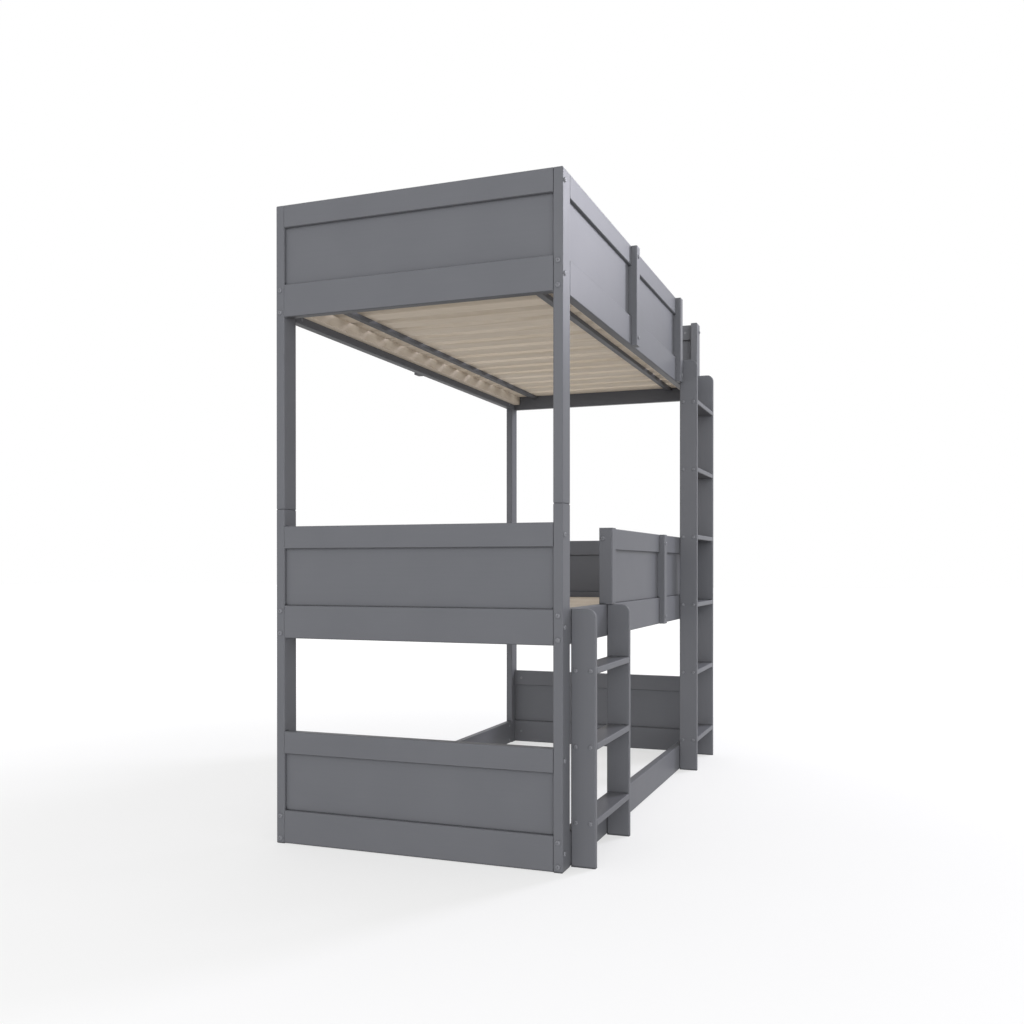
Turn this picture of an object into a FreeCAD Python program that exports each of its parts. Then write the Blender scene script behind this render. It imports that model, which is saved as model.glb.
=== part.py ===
import FreeCAD, Part
import os
import Sketcher

# Triple bunk bed of painted boards, in millimetres, +Z up.
# X runs along the bed: the short ladder's end is left (-X), the tall ladder's end is right (+X).
# The ladders stand on the front (-Y). The origin is under the middle of the whole bed, on the floor.

SIZES = {
    # the frame over its outer faces
    "bed_length": 2120,
    "bed_width": 970,
    # heights of the underside of the three tiers' lower boards
    "bottom_level": 2,
    "middle_level": 661,
    "top_level": 1691,
    # each tier is a lower board, a recessed panel and an upper board
    "tier_height": 359,
    "lower_rail_height": 105,
    "upper_rail_height": 72,
    # corner posts, which come apart at a joint above the middle tier
    "post_width": 70,
    "post_thickness": 30,
    "post_joint_rise": 55,
    # boards and panels
    "end_rail_thickness": 30,
    "side_rail_thickness": 30,
    "guard_rail_thickness": 25,
    "panel_thickness": 8,
    "end_panel_recess": 12,
    "guard_panel_recess": 10,
    "groove_depth": 10,
    "panel_slack": 1,
    "panel_clearance": 0.2,
    "edge_chamfer": 2.5,
    # guard posts, proud of the boards that they clamp
    "guard_post_width": 45,
    "guard_post_proud": 20,
    "top_guard_gap": 35,
    "middle_guard_lap": 25,
    # slatted bases
    "slat_seat": 62,
    "slat_width": 80,
    "slat_thickness": 17,
    "slat_count": 16,
    "slat_end_gap": 4,
    "slat_side_gap": 2,
    "slat_chamfer": 3,
    "ledger_height": 38,
    "ledger_thickness": 28,
    "bar_width": 22,
    "bar_height": 15,
    "bar_inset": 130,
    # ladders
    "ladder_width": 415,
    "ladder_depth": 76,
    "stile_thickness": 20,
    "stile_top_round": 28,
    "short_ladder_inset": 77,
    "tall_ladder_inset": 53,
    "step_thickness": 20,
    "first_step_top": 142,
    "top_step_drop": 173,
    "step_bolt_inset": 15,
    # bolts
    "bolt_diameter": 8,
    "bolt_clearance": 0.2,
    "bolt_head_diameter": 15,
    "bolt_head_height": 4.5,
    "bolt_grip": 50,
    "bolt_hole_spare": 5,
    "rail_bolt_low": 16,
    "rail_bolt_drop": 18,
    "small_bolt_diameter": 6,
    "small_head_diameter": 13,
    "small_head_height": 4,
    "step_bolt_grip": 40,
    "guard_bolt_low": 30,
    "guard_bolt_grip": 18,
}

doc = FreeCAD.newDocument("TripleBunkBed")
sheet = doc.addObject("Spreadsheet::Sheet", "Sizes")
for row, (alias, value) in enumerate(SIZES.items(), start=1):
    sheet.set(f"A{row}", alias)
    sheet.set(f"B{row}", str(value))
    sheet.setAlias(f"B{row}", alias)
doc.recompute()

subparts = []
# two places nearer than this are the same place
SAME = 0.001
# round shanks, holes and heads are drawn with few flats, so that their many repeats stay light
SHANK_FLATS = 6
HEAD_FLATS = 8


class SheetNames:
    """Gives the expression that reads a cell of the sheet by its alias."""

    def __getattr__(self, alias):
        return f"Sizes.{alias}"


size = SheetNames()

# Places and lengths that several pieces share, as expressions.
left_end = f"(-{size.bed_length} / 2)"
bed_height = f"({size.top_level} + {size.tier_height})"
post_joint = f"({size.middle_level} + {size.tier_height} + {size.post_joint_rise})"
back_reach = f"({size.guard_post_proud} + {size.small_head_height})"
front_face = f"(({size.ladder_depth} - {back_reach} - {size.bed_width}) / 2)"
rail_length = f"({size.bed_length} - 2 * {size.post_width})"
end_rail_length = f"({size.bed_width} - 2 * {size.post_thickness})"
upper_rail_base = f"({size.tier_height} - {size.upper_rail_height})"
upper_rail_middle = f"({size.tier_height} - {size.upper_rail_height} / 2)"
groove_width = f"({size.panel_thickness} + 2 * {size.panel_clearance})"
groove_rise = f"({upper_rail_base} - {size.lower_rail_height} + 2 * {size.groove_depth})"
groove_base = f"({size.lower_rail_height} - {size.groove_depth})"
end_groove_offset = f"({size.end_panel_recess} - {size.panel_clearance})"
guard_groove_offset = f"({size.guard_panel_recess} - {size.panel_clearance})"
panel_tongue = f"({size.groove_depth} - {size.panel_slack})"
panel_rise = f"({upper_rail_base} - {size.lower_rail_height} + 2 * {panel_tongue})"
bolt_hole = f"({size.bolt_diameter} + 2 * {size.bolt_clearance})"
small_hole = f"({size.small_bolt_diameter} + 2 * {size.bolt_clearance})"
end_hole_depth = f"({size.bolt_grip} + {size.bolt_hole_spare})"
step_hole_depth = f"({size.step_bolt_grip} + {size.bolt_hole_spare})"
guard_hole_depth = f"({size.guard_bolt_grip} + {size.bolt_hole_spare})"
guard_post_depth = f"({size.guard_post_proud} + {size.guard_rail_thickness})"

ENDS = ("left", "right")
SIDES = ("front", "back")
GUARDED = ("middle", "top")
levels = {"bottom": size.bottom_level, "middle": size.middle_level, "top": size.top_level}
# heights above a tier's lower edge of the bolts into its side boards and its end boards
side_bolt_heights = (size.rail_bolt_low, f"({size.lower_rail_height} - {size.rail_bolt_drop})")
end_bolt_heights = (f"({size.lower_rail_height} / 2)", upper_rail_middle)

# Directions in which a fastener or hole points: axis and angle that turn +Z that way and keep +X level.
TURNS = {
    "+x": ((1, 1, 1), 120),
    "-x": ((-1, -1, 1), 120),
    "+y": ((1, 0, 0), -90),
    "-y": ((1, 0, 0), 90),
    "+z": ((0, 0, 1), 0),
    "-z": ((1, 0, 0), 180),
}


def turned(direction):
    """The rotation that points +Z in the given direction."""
    axis, angle = TURNS[direction]
    return FreeCAD.Rotation(FreeCAD.Vector(*axis), angle)


def place(thing, corner):
    """Binds the place of an object to three expressions."""
    for axis, value in zip("xyz", corner):
        thing.setExpression(f"Placement.Base.{axis}", value)


def span(flipped, offset, width, total):
    """Lower end of a stretch that starts at offset from one end of total, or from its other end."""
    return f"({total} - {offset} - {width})" if flipped else f"({offset})"


def depth_place(side, offset, width):
    """Lower Y of a stretch that lies at offset inwards from the outer face of the front or back frame."""
    return f"({front_face} + {span(side == 'back', offset, width, size.bed_width)})"


def new_body(label, corner):
    """An empty body for one sub-part, at its corner."""
    body = doc.addObject("PartDesign::Body", label)
    body.Label = label
    place(body, corner)
    return body


def kept(thing):
    """Lists a finished sub-part for export."""
    subparts.append(thing)
    return thing


def blank(body, sizes):
    """The sawn board that a piece starts from."""
    box = body.newObject("PartDesign::AdditiveBox", f"{body.Name}_blank")
    for dimension, value in zip(("Length", "Width", "Height"), sizes):
        box.setExpression(dimension, value)
    doc.recompute()
    return box


def dressed(body, feature, kind, dimension, value, chosen):
    """Chamfers or rounds the chosen edges of a body's last feature."""
    edges = [f"Edge{number}" for number, edge in enumerate(feature.Shape.Edges, start=1) if chosen(edge)]
    dressing = body.newObject(f"PartDesign::{kind}", f"{body.Name}_{kind.lower()}")
    dressing.Base = (feature, edges)
    dressing.setExpression(dimension, value)
    doc.recompute()
    return dressing


def chamfered(body, feature, width, chosen):
    """Takes the sharpness off the chosen edges."""
    return dressed(body, feature, "Chamfer", "Size", width, chosen)


def runs_along(axis):
    """Picks the straight edges that run along one axis."""
    others = [letter for letter in "XYZ" if letter != axis]

    def chosen(edge):
        return all(getattr(edge.BoundBox, f"{letter}Length") < SAME for letter in others)

    return chosen


def every_edge(edge):
    """Picks all edges."""
    return True


def board(label, sizes, corner, chosen):
    """A sawn board with the chosen edges eased."""
    body = new_body(label, corner)
    chamfered(body, blank(body, sizes), size.edge_chamfer, chosen)
    return kept(body)


def cut_box(body, sizes, corner):
    """A square-cut groove or notch."""
    groove = body.newObject("PartDesign::SubtractiveBox", f"{body.Name}_groove")
    for dimension, value in zip(("Length", "Width", "Height"), sizes):
        groove.setExpression(dimension, value)
    place(groove, corner)


def bore(body, diameter, depth, start, direction):
    """A bolt hole from a point in a direction."""
    hole = body.newObject("PartDesign::SubtractivePrism", f"{body.Name}_hole")
    hole.Polygon = SHANK_FLATS
    hole.setExpression("Circumradius", f"{diameter} / 2")
    hole.setExpression("Height", depth)
    hole.Placement = FreeCAD.Placement(FreeCAD.Vector(), turned(direction))
    place(hole, start)


# Corner posts

def post_cuts(body, tier, level_in_post, end, side):
    """Holes and grooves that one tier needs in a corner post."""
    right = end == "right"
    back = side == "back"
    rail_axis = span(back, f"({size.side_rail_thickness} / 2)", "0", size.post_thickness)
    for height in side_bolt_heights:
        bore(body, bolt_hole, size.post_width, ("0", rail_axis, f"{level_in_post} + {height}"), "+x")
    end_axis = span(right, f"({size.end_rail_thickness} / 2)", "0", size.post_width)
    for height in end_bolt_heights:
        bore(body, bolt_hole, size.post_thickness, (end_axis, "0", f"{level_in_post} + {height}"), "+y")
    groove_z = f"{level_in_post} + {groove_base}"
    panel_x = span(right, end_groove_offset, groove_width, size.post_width)
    inner_y = span(not back, "0", size.groove_depth, size.post_thickness)
    cut_box(body, (groove_width, size.groove_depth, groove_rise), (panel_x, inner_y, groove_z))
    if guard_meets(tier, side, end):
        panel_y = span(back, guard_groove_offset, groove_width, size.post_thickness)
        inner_x = span(not right, "0", size.groove_depth, size.post_width)
        cut_box(body, (size.groove_depth, groove_width, groove_rise), (inner_x, panel_y, groove_z))


def guard_meets(tier, side, end):
    """Whether a guard's rail and panel end at this corner post: the ladder entries have none."""
    if tier == "bottom":
        return False
    return (tier, side, end) not in (("top", "front", "right"), ("middle", "front", "left"))


def corner_post(part, end, side):
    """The lower or upper length of one corner post."""
    lower = part == "lower"
    base = "0" if lower else post_joint
    length = post_joint if lower else f"({bed_height} - {post_joint})"
    x = f"{left_end} + {span(end == 'right', '0', size.post_width, size.bed_length)}"
    y = depth_place(side, "0", size.post_thickness)
    sizes = (size.post_width, size.post_thickness, length)
    body = board(f"{part}_post_{side}_{end}", sizes, (x, y, base), every_edge)
    for tier in ("bottom", "middle") if lower else ("top",):
        post_cuts(body, tier, f"{levels[tier]} - {base}", end, side)


# End frames: an upper board, a lower board and a panel between each pair of posts

def end_rail(tier, end, which):
    """A board across one end, with a groove for the panel and bolt holes in its ends."""
    upper = which == "top"
    height = size.upper_rail_height if upper else size.lower_rail_height
    base = f"{levels[tier]} + {upper_rail_base if upper else '0'}"
    x = f"{left_end} + {span(end == 'right', '0', size.end_rail_thickness, size.bed_length)}"
    y = depth_place("front", size.post_thickness, end_rail_length)
    sizes = (size.end_rail_thickness, end_rail_length, height)
    body = board(f"{tier}_{end}_end_{which}_rail", sizes, (x, y, base), runs_along("Y"))
    groove_x = span(end == "right", end_groove_offset, groove_width, size.end_rail_thickness)
    groove_z = span(not upper, "0", size.groove_depth, height)
    cut_box(body, (groove_width, end_rail_length, size.groove_depth), (groove_x, "0", groove_z))
    for at, inwards in (("0", "+y"), (end_rail_length, "-y")):
        start = (f"{size.end_rail_thickness} / 2", at, f"{height} / 2")
        bore(body, bolt_hole, end_hole_depth, start, inwards)


def end_panel(tier, end):
    """A thin panel that sits in the grooves of two boards and two posts."""
    x_offset = span(end == "right", size.end_panel_recess, size.panel_thickness, size.bed_length)
    y = depth_place("front", f"({size.post_thickness} - {panel_tongue})", "0")
    z = f"{levels[tier]} + {size.lower_rail_height} - {panel_tongue}"
    body = new_body(f"{tier}_{end}_end_panel", (f"{left_end} + {x_offset}", y, z))
    blank(body, (size.panel_thickness, f"({end_rail_length} + 2 * {panel_tongue})", panel_rise))
    kept(body)


# Guards. Places along a guard are measured from the left end of the bed.

inner_left = size.post_width
inner_right = f"({size.bed_length} - {size.post_width})"
tall_start = f"({size.bed_length} - {size.tall_ladder_inset} - {size.ladder_width})"
ladder_starts = {"short": size.short_ladder_inset, "tall": tall_start}
# the top guard stops before the tall ladder, and the middle guard starts over the short one
top_guard_end = f"({tall_start} - {size.top_guard_gap})"
middle_guard_start = f"({size.short_ladder_inset} + {size.ladder_width} - {size.middle_guard_lap})"
end_post_starts = {"top": f"({top_guard_end} - {size.guard_post_width})", "middle": middle_guard_start}


def guard_run(tier, side):
    """Where the guard's rail starts and ends along the bed."""
    start = inner_left
    end = inner_right
    if (tier, side) == ("middle", "front"):
        start = f"({middle_guard_start} + {size.guard_post_width})"
    if (tier, side) == ("top", "front"):
        end = end_post_starts["top"]
    return start, end


def middle_post_start(tier, side):
    """The middle post stands halfway along the guard's rail."""
    start, end = guard_run(tier, side)
    return f"(({start} + {end} - {size.guard_post_width}) / 2)"


def panel_bays(tier, side):
    """The two open stretches that the middle post leaves in a guard."""
    start, end = guard_run(tier, side)
    post = middle_post_start(tier, side)
    return (start, post), (f"({post} + {size.guard_post_width})", end)


def side_rail(tier, side):
    """A long board between two corner posts, which carries a guard, a ladder and a slat ledger."""
    y = depth_place(side, "0", size.side_rail_thickness)
    sizes = (rail_length, size.side_rail_thickness, size.lower_rail_height)
    corner = (f"{left_end} + {inner_left}", y, levels[tier])
    body = board(f"{tier}_{side}_side_rail", sizes, corner, runs_along("X"))
    for height in side_bolt_heights:
        for at, inwards in (("0", "+x"), (rail_length, "-x")):
            bore(body, bolt_hole, end_hole_depth, (at, f"{size.side_rail_thickness} / 2", height), inwards)
    if tier in GUARDED:
        guard_cuts_in_rail(body, tier, side)


def guard_cuts_in_rail(body, tier, side):
    """The groove for the guard's panels, and holes for its posts, in the board below it."""
    back = side == "back"
    groove_y = span(back, guard_groove_offset, groove_width, size.side_rail_thickness)
    start, end = guard_run(tier, side)
    low = start if guard_meets(tier, side, "left") else f"({start} - {size.groove_depth})"
    high = end if guard_meets(tier, side, "right") else f"({end} + {size.groove_depth})"
    run = (f"({high} - {low})", groove_width, size.groove_depth)
    cut_box(body, run, (f"({low} - {inner_left})", groove_y, groove_base))
    outer = size.side_rail_thickness if back else "0"
    for post in bolted_posts(tier, side):
        at = (f"{post} + {size.guard_post_width} / 2 - {inner_left}", outer, size.guard_bolt_low)
        bore(body, small_hole, guard_hole_depth, at, "-y" if back else "+y")


def bolted_posts(tier, side):
    """Where the guard posts start that are bolted to the board below the guard."""
    posts = [middle_post_start(tier, side)]
    if (tier, side) == ("top", "front"):
        posts.append(end_post_starts["top"])
    return posts


def guard_rail(tier, side):
    """The upper board of a guard, grooved below for its panels."""
    back = side == "back"
    start, end = guard_run(tier, side)
    length = f"({end} - {start})"
    y = depth_place(side, "0", size.guard_rail_thickness)
    corner = (f"{left_end} + {start}", y, f"{levels[tier]} + {upper_rail_base}")
    sizes = (length, size.guard_rail_thickness, size.upper_rail_height)
    body = board(f"{tier}_{side}_guard_rail", sizes, corner, runs_along("X"))
    groove_y = span(back, guard_groove_offset, groove_width, size.guard_rail_thickness)
    cut_box(body, (length, groove_width, size.groove_depth), ("0", groove_y, "0"))
    post_middle = f"({middle_post_start(tier, side)} + {size.guard_post_width} / 2 - {start})"
    outer = size.guard_rail_thickness if back else "0"
    half_height = f"({size.upper_rail_height} / 2)"
    bore(body, small_hole, guard_hole_depth, (post_middle, outer, half_height), "-y" if back else "+y")
    for end_name, at, inwards in (("left", "0", "+x"), ("right", length, "-x")):
        if not guard_meets(tier, side, end_name):
            axis = (at, f"{size.guard_rail_thickness} / 2", half_height)
            bore(body, bolt_hole, end_hole_depth, axis, inwards)


def guard_panels(tier, side):
    """The two thin panels of a guard, one each side of its middle post."""
    panels = []
    for name, (start, end) in zip(("left", "right"), panel_bays(tier, side)):
        x = f"{left_end} + {start} - {panel_tongue}"
        y = depth_place(side, size.guard_panel_recess, size.panel_thickness)
        z = f"{levels[tier]} + {size.lower_rail_height} - {panel_tongue}"
        body = new_body(f"{tier}_{side}_guard_{name}_panel", (x, y, z))
        blank(body, (f"({end} - {start} + 2 * {panel_tongue})", size.panel_thickness, panel_rise))
        panels.append(body)
    group(f"{tier}_{side}_guard_panels", panels)


def profile(body, corners):
    """A closed outline of straight lines in the YZ plane, each corner bound to two expressions."""
    sketch = body.newObject("Sketcher::SketchObject", f"{body.Name}_outline")
    plane = [feature for feature in body.Origin.OriginFeatures if feature.Role == "YZ_Plane"][0]
    sketch.AttachmentSupport = [(plane, "")]
    sketch.MapMode = "FlatFace"
    points = []
    for corner in corners:
        across, up = [float(sheet.evalExpression(value)) for value in corner]
        points.append(FreeCAD.Vector(across, up, 0))
    for number, point in enumerate(points):
        sketch.addGeometry(Part.LineSegment(point, points[(number + 1) % len(points)]))
    for number in range(len(points)):
        sketch.addConstraint(Sketcher.Constraint("Coincident", number, 2, (number + 1) % len(points), 1))
    for number, (corner, point) in enumerate(zip(corners, points)):
        for kind, value, at in (("DistanceX", corner[0], point.x), ("DistanceY", corner[1], point.y)):
            constraint = sketch.addConstraint(Sketcher.Constraint(kind, -1, 1, number, 1, at))
            sketch.setExpression(f"Constraints[{constraint}]", value)
    doc.recompute()
    return sketch


def guard_post(label, tier, side, start, kind):
    """An upright of a guard: an outer strip over the boards, and a thicker stretch beside the panels."""
    back = side == "back"
    y = depth_place(side, f"(-{size.guard_post_proud})", guard_post_depth)
    body = new_body(label, (f"{left_end} + {start}", y, levels[tier]))

    def across(value):
        return f"({guard_post_depth} - {value})" if back else value

    outer = across("0")
    face = across(size.guard_post_proud)
    inner = across(guard_post_depth)
    rail_top = size.lower_rail_height
    outlines = {
        "middle": [(outer, "0"), (face, "0"), (face, rail_top), (inner, rail_top),
                   (inner, upper_rail_base), (face, upper_rail_base), (face, size.tier_height),
                   (outer, size.tier_height)],
        "lapped_end": [(outer, "0"), (face, "0"), (face, rail_top), (inner, rail_top),
                       (inner, size.tier_height), (outer, size.tier_height)],
        "standing_end": [(outer, rail_top), (inner, rail_top), (inner, size.tier_height),
                         (outer, size.tier_height)],
    }
    pad = body.newObject("PartDesign::Pad", f"{label}_pad")
    pad.Profile = profile(body, outlines[kind])
    pad.setExpression("Length", size.guard_post_width)
    doc.recompute()
    outer_y = float(sheet.evalExpression(outer))
    upright = runs_along("Z")
    chamfered(body, pad, size.edge_chamfer,
              lambda edge: upright(edge) and abs(edge.CenterOfMass.y - outer_y) < SAME)
    panel_offset = f"({size.guard_post_proud} + {guard_groove_offset})"
    panel_y = span(back, panel_offset, groove_width, guard_post_depth)
    far_x = f"({size.guard_post_width} - {size.groove_depth})"
    sides = {"middle": ("0", far_x), "lapped_end": ("0",), "standing_end": (far_x,)}[kind]
    groove_top = upper_rail_base if kind == "middle" else f"({upper_rail_base} + {size.groove_depth})"
    rise = f"({groove_top} - {size.lower_rail_height})"
    for groove_x in sides:
        cut_box(body, (size.groove_depth, groove_width, rise), (groove_x, panel_y, size.lower_rail_height))
    middle_x = f"{size.guard_post_width} / 2"
    inwards = "-y" if back else "+y"
    if kind != "standing_end":
        bore(body, small_hole, size.guard_post_proud, (middle_x, outer, size.guard_bolt_low), inwards)
    if kind == "middle":
        bore(body, small_hole, size.guard_post_proud, (middle_x, outer, upper_rail_middle), inwards)
    else:
        rail_axis = f"({size.guard_post_proud} + {size.guard_rail_thickness} / 2)"
        bore(body, bolt_hole, size.guard_post_width, ("0", rail_axis, upper_rail_middle), "+x")
    kept(body)


def guard_posts(tier, side):
    """The uprights of one guard: a middle post, and an end post where a ladder entry is left open."""
    guard_post(f"{tier}_{side}_guard_post", tier, side, middle_post_start(tier, side), "middle")
    if side == "front":
        kind = "lapped_end" if tier == "top" else "standing_end"
        guard_post(f"{tier}_{side}_guard_end_post", tier, side, end_post_starts[tier], kind)


# Slatted bases

slat_run = f"({size.bed_length} - 2 * {size.end_rail_thickness} - 2 * {size.slat_end_gap})"


def slats(tier):
    """The cross slats of one bed, which rest on the two ledgers."""
    length = f"({size.bed_width} - 2 * {size.side_rail_thickness} - 2 * {size.slat_side_gap})"
    x = f"{left_end} + {size.end_rail_thickness} + {size.slat_end_gap}"
    y = depth_place("front", f"({size.side_rail_thickness} + {size.slat_side_gap})", length)
    body = new_body(f"{tier}_slats", (x, y, f"{levels[tier]} + {size.slat_seat}"))
    body.AllowCompound = True
    box = blank(body, (size.slat_width, length, size.slat_thickness))
    chamfered(body, box, size.slat_chamfer, runs_along("Y"))
    pattern = body.newObject("PartDesign::LinearPattern", f"{tier}_slat_row")
    pattern.TransformMode = "Whole shape"
    x_axis = [feature for feature in body.Origin.OriginFeatures if feature.Role == "X_Axis"][0]
    pattern.Direction = (x_axis, [""])
    pattern.setExpression("Length", f"{slat_run} - {size.slat_width}")
    pattern.setExpression("Occurrences", size.slat_count)
    body.Tip = pattern
    kept(body)


def ledger(tier, side):
    """A strip along the inner face of a side rail, which carries the ends of the slats."""
    x = f"{left_end} + {size.end_rail_thickness} + {size.slat_end_gap}"
    y = depth_place(side, size.side_rail_thickness, size.ledger_thickness)
    z = f"{levels[tier]} + {size.slat_seat} - {size.ledger_height}"
    body = new_body(f"{tier}_{side}_ledger", (x, y, z))
    blank(body, (slat_run, size.ledger_thickness, size.ledger_height))
    return body


def slat_bar(tier, side):
    """A long bar under the slats, which holds them in line."""
    x = f"{left_end} + {size.end_rail_thickness} + {size.slat_end_gap}"
    y = depth_place(side, size.bar_inset, size.bar_width)
    z = f"{levels[tier]} + {size.slat_seat} - {size.bar_height}"
    body = new_body(f"{tier}_{side}_slat_bar", (x, y, z))
    blank(body, (slat_run, size.bar_width, size.bar_height))
    return body


# Ladders

ladder_tiers = {"short": "middle", "tall": "top"}
step_counts = {"short": 3, "tall": 6}


def ladder_top(ladder):
    """A ladder ends level with the upper edge of the board that it leads to."""
    return f"({levels[ladder_tiers[ladder]]} + {size.lower_rail_height})"


def step_base(ladder, number):
    """Height of the underside of a ladder's step: the steps are spread evenly from first to last."""
    climb = f"({ladder_top(ladder)} - {size.top_step_drop} - {size.first_step_top})"
    share = f"({number} / {step_counts[ladder] - 1})"
    return f"({size.first_step_top} + {climb} * {share} - {size.step_thickness})"


def step_bolt_depths():
    """Distances of the two bolts at each end of a step from the ladder's outer edge."""
    return size.step_bolt_inset, f"({size.ladder_depth} - {size.step_bolt_inset})"


def ladder_stile(ladder, end):
    """An upright of a ladder, rounded at its outer top corner, with bolt holes for the steps."""
    start = span(end == "right", "0", size.stile_thickness, size.ladder_width)
    x = f"{left_end} + {ladder_starts[ladder]} + {start}"
    body = new_body(f"{ladder}_ladder_{end}_stile", (x, f"{front_face} - {size.ladder_depth}", "0"))
    box = blank(body, (size.stile_thickness, size.ladder_depth, ladder_top(ladder)))
    high = box.Shape.BoundBox.ZMax
    level = runs_along("X")
    corner = dressed(body, box, "Fillet", "Radius", size.stile_top_round, lambda edge: level(edge)
                     and edge.CenterOfMass.z > high - SAME and edge.CenterOfMass.y < SAME)
    chamfered(body, corner, size.edge_chamfer,
              lambda edge: edge.BoundBox.XLength < SAME and edge.BoundBox.ZMax > SAME)
    for number in range(step_counts[ladder]):
        for depth in step_bolt_depths():
            height = f"{step_base(ladder, number)} + {size.step_thickness} / 2"
            bore(body, small_hole, size.stile_thickness, ("0", depth, height), "+x")
    kept(body)


def ladder_steps(ladder):
    """The steps of a ladder, which butt against its stiles."""
    length = f"({size.ladder_width} - 2 * {size.stile_thickness})"
    x = f"{left_end} + {ladder_starts[ladder]} + {size.stile_thickness}"
    y = f"{front_face} - {size.ladder_depth}"
    steps = []
    for number in range(step_counts[ladder]):
        body = new_body(f"{ladder}_ladder_step_{number + 1}", (x, y, step_base(ladder, number)))
        box = blank(body, (length, size.ladder_depth, size.step_thickness))
        chamfered(body, box, size.edge_chamfer, runs_along("X"))
        for depth in step_bolt_depths():
            for at, inwards in (("0", "+x"), (length, "-x")):
                start = (at, depth, f"{size.step_thickness} / 2")
                bore(body, small_hole, step_hole_depth, start, inwards)
        steps.append(body)
    group(f"{ladder}_ladder_steps", steps)


# Fasteners. One pattern bolt of each kind is linked to every place that it is used in.

def prism(body, name, flats, diameter, length, base):
    """A stretch of a bolt along +Z."""
    stretch = body.newObject("PartDesign::AdditivePrism", name)
    stretch.Polygon = flats
    stretch.setExpression("Circumradius", f"{diameter} / 2")
    stretch.setExpression("Height", length)
    stretch.setExpression("Placement.Base.z", base)


def bolt_pattern(name, shank, length, head, head_height):
    """A bolt with its head below z = 0 and its shank along +Z."""
    body = doc.addObject("PartDesign::Body", name)
    prism(body, f"{name}_head", HEAD_FLATS, head, head_height, f"-{head_height}")
    prism(body, f"{name}_shank", SHANK_FLATS, shank, length, "0")
    return body


def frame_bolt(name, through):
    """A large bolt that goes through a piece of the given depth and into the end of a board."""
    head = (size.bolt_head_diameter, size.bolt_head_height)
    return bolt_pattern(name, size.bolt_diameter, f"({through} + {size.bolt_grip})", *head)


def small_bolt(name, length):
    """A small bolt of the given length."""
    head = (size.small_head_diameter, size.small_head_height)
    return bolt_pattern(name, size.small_bolt_diameter, length, *head)


def copy_of(pattern, at, direction):
    """A linked copy of a fastener at a point, pointing in a direction."""
    link = doc.addObject("App::Link", f"{pattern.Name}_at")
    link.LinkedObject = pattern
    link.Placement = FreeCAD.Placement(FreeCAD.Vector(), turned(direction))
    place(link, at)
    return link


def group(label, pieces):
    """One sub-part made of several separate solids."""
    compound = doc.addObject("Part::Compound", label)
    compound.Label = label
    compound.Links = pieces
    return kept(compound)


def along_bed(end, offset):
    """X at an offset inwards from one end of the bed."""
    return f"{left_end} + {span(end == 'right', offset, '0', size.bed_length)}"


def corner_places(heights):
    """The corners of every tier, at each of the given heights above its lower edge."""
    for tier in levels:
        for height in heights:
            for end in ENDS:
                for side in SIDES:
                    yield end, side, f"{levels[tier]} + {height}"


def side_rail_bolts():
    """Bolts through the posts into the ends of the side rails."""
    bolt = frame_bolt("SideBolt", size.post_width)
    axis = f"({size.side_rail_thickness} / 2)"
    bolts = []
    for end, side, height in corner_places(side_bolt_heights):
        at = (along_bed(end, "0"), depth_place(side, axis, "0"), height)
        bolts.append(copy_of(bolt, at, "+x" if end == "left" else "-x"))
    return bolts


def end_rail_bolts():
    """Bolts through the posts into the ends of the end rails."""
    bolt = frame_bolt("EndBolt", size.post_thickness)
    axis = f"({size.end_rail_thickness} / 2)"
    bolts = []
    for end, side, height in corner_places(end_bolt_heights):
        at = (along_bed(end, axis), depth_place(side, "0", "0"), height)
        bolts.append(copy_of(bolt, at, "+y" if side == "front" else "-y"))
    return bolts


def guard_end_bolts():
    """Bolts through the free end posts into the ends of the guard rails."""
    bolt = frame_bolt("GuardEndBolt", size.guard_post_width)
    y = depth_place("front", f"({size.guard_rail_thickness} / 2)", "0")
    top = (f"{left_end} + {top_guard_end}", y, f"{size.top_level} + {upper_rail_middle}")
    middle = (f"{left_end} + {middle_guard_start}", y, f"{size.middle_level} + {upper_rail_middle}")
    return [copy_of(bolt, top, "-x"), copy_of(bolt, middle, "+x")]


def guard_bolts():
    """Bolts through the guard posts into the boards behind them."""
    bolt = small_bolt("GuardBolt", f"({size.guard_post_proud} + {size.guard_bolt_grip})")
    bolts = []
    for tier in GUARDED:
        for side in SIDES:
            places = [(post, size.guard_bolt_low) for post in bolted_posts(tier, side)]
            places.append((middle_post_start(tier, side), upper_rail_middle))
            y = depth_place(side, f"(-{size.guard_post_proud})", "0")
            for start, height in places:
                at = (f"{left_end} + {start} + {size.guard_post_width} / 2", y, f"{levels[tier]} + {height}")
                bolts.append(copy_of(bolt, at, "+y" if side == "front" else "-y"))
    return bolts


def ladder_bolts():
    """Bolts through the stiles into the ends of the steps."""
    bolt = small_bolt("StepBolt", f"({size.stile_thickness} + {size.step_bolt_grip})")
    bolts = []
    for ladder, start in ladder_starts.items():
        for number in range(step_counts[ladder]):
            height = f"{step_base(ladder, number)} + {size.step_thickness} / 2"
            for depth in step_bolt_depths():
                y = f"{front_face} - {size.ladder_depth} + {depth}"
                left = f"{left_end} + {start}"
                bolts.append(copy_of(bolt, (left, y, height), "+x"))
                bolts.append(copy_of(bolt, (f"{left} + {size.ladder_width}", y, height), "-x"))
    return bolts


# Building the bed

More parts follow.
